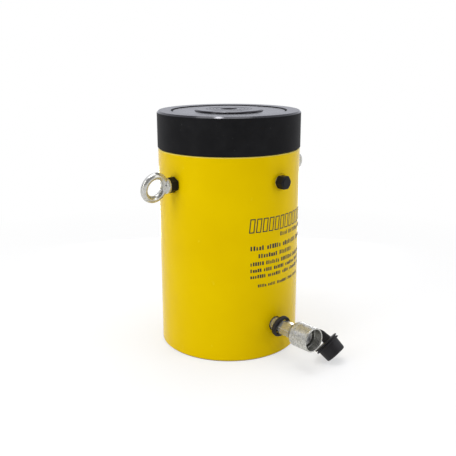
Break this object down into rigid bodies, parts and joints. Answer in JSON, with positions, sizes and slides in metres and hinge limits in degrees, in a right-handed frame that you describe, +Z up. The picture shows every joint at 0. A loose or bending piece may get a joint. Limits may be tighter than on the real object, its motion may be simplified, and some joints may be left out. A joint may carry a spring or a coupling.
{
  "type": "single acting hydraulic cylinder with lock nut",
  "caption": "Short upright single acting hydraulic cylinder: painted body, black lock nut on a threaded ram with a grooved saddle, lifting eyes, and a side coupler with a strapped dust plug.",
  "frame": {"origin": "centre of the base face, on the surface that the cylinder stands on", "axes": "+Z up along the ram; -Y is the front; the coupler points 40 degrees from the front towards +X"},
  "size_m": [0.2321, 0.2129, 0.287],
  "materials": {
    "yellow_paint": "glossy yellow enamel",
    "black_steel": "black oxide, satin",
    "black_hex": "black oxide",
    "zinc": "zinc plated",
    "zinc_collar": "zinc plated, finely knurled",
    "spring_steel": "bright",
    "bronze": "turned",
    "black_rubber": "matte",
    "soft_plug": "moulded, satin",
    "polyurethane": "smooth",
    "white_plastic": "smooth"
  },
  "bodies": {
    "cylinder": {"cylinder_body": "yellow_paint", "wiper_ring": "polyurethane", "overflow_plug": "black_hex", "plug_seal_washer": "zinc", "eye_bolt_left": "zinc", "eye_bolt_rear": "zinc", "eye_nut_left": "black_hex", "eye_nut_rear": "black_hex", "coupler_body": "zinc", "coupler_o_ring": "black_rubber", "valve_seat": "zinc", "valve_spring": "spring_steel", "collar_retaining_ring": "spring_steel"},
    "ram": {"plunger": "black_steel", "piston_seal": "polyurethane", "backup_ring": "white_plastic", "guide_ring_lower": "bronze", "guide_ring_upper": "bronze", "saddle": "black_steel", "saddle_o_ring": "black_rubber"},
    "nut": {"lock_nut": "black_steel"},
    "collar": {"coupler_collar": "zinc_collar"},
    "poppet": {"valve_poppet": "spring_steel", "poppet_seal": "black_rubber"},
    "plug": {"dust_plug": "soft_plug"}
  },
  "joints": [
    {"name": "nut_turn", "type": "hinge", "parent": "cylinder", "child": "nut", "pos_m": [0, 0, 0.264], "axis": [0, 0, -1], "range_deg": [0, 9000]},
    {"name": "ram_slide", "type": "slide", "parent": "cylinder", "child": "ram", "axis": [0, 0, 1], "range_m": [0, 0.15]},
    {"name": "collar_spin", "type": "hinge", "parent": "cylinder", "child": "collar", "pos_m": [0.08356, -0.09959, 0.04], "axis": [0.6428, -0.766, 0], "continuous": true},
    {"name": "valve_slide", "type": "slide", "parent": "cylinder", "child": "poppet", "axis": [-0.6428, 0.766, 0], "range_m": [0, 0.0035], "stiffness_N_per_m": 600, "springref_m": -0.006, "deforming": ["valve_spring"]},
    {"name": "dust_plug_swing", "type": "hinge", "parent": "cylinder", "child": "plug", "pos_m": [0.06145, -0.07323, 0.04], "axis": [0.6428, -0.766, 0], "range_deg": [0, 240]}
  ],
  "couplings": [
    {"joint": "ram_slide", "follows": "nut_turn", "m_per_rad": 0.00095493}
  ]
}
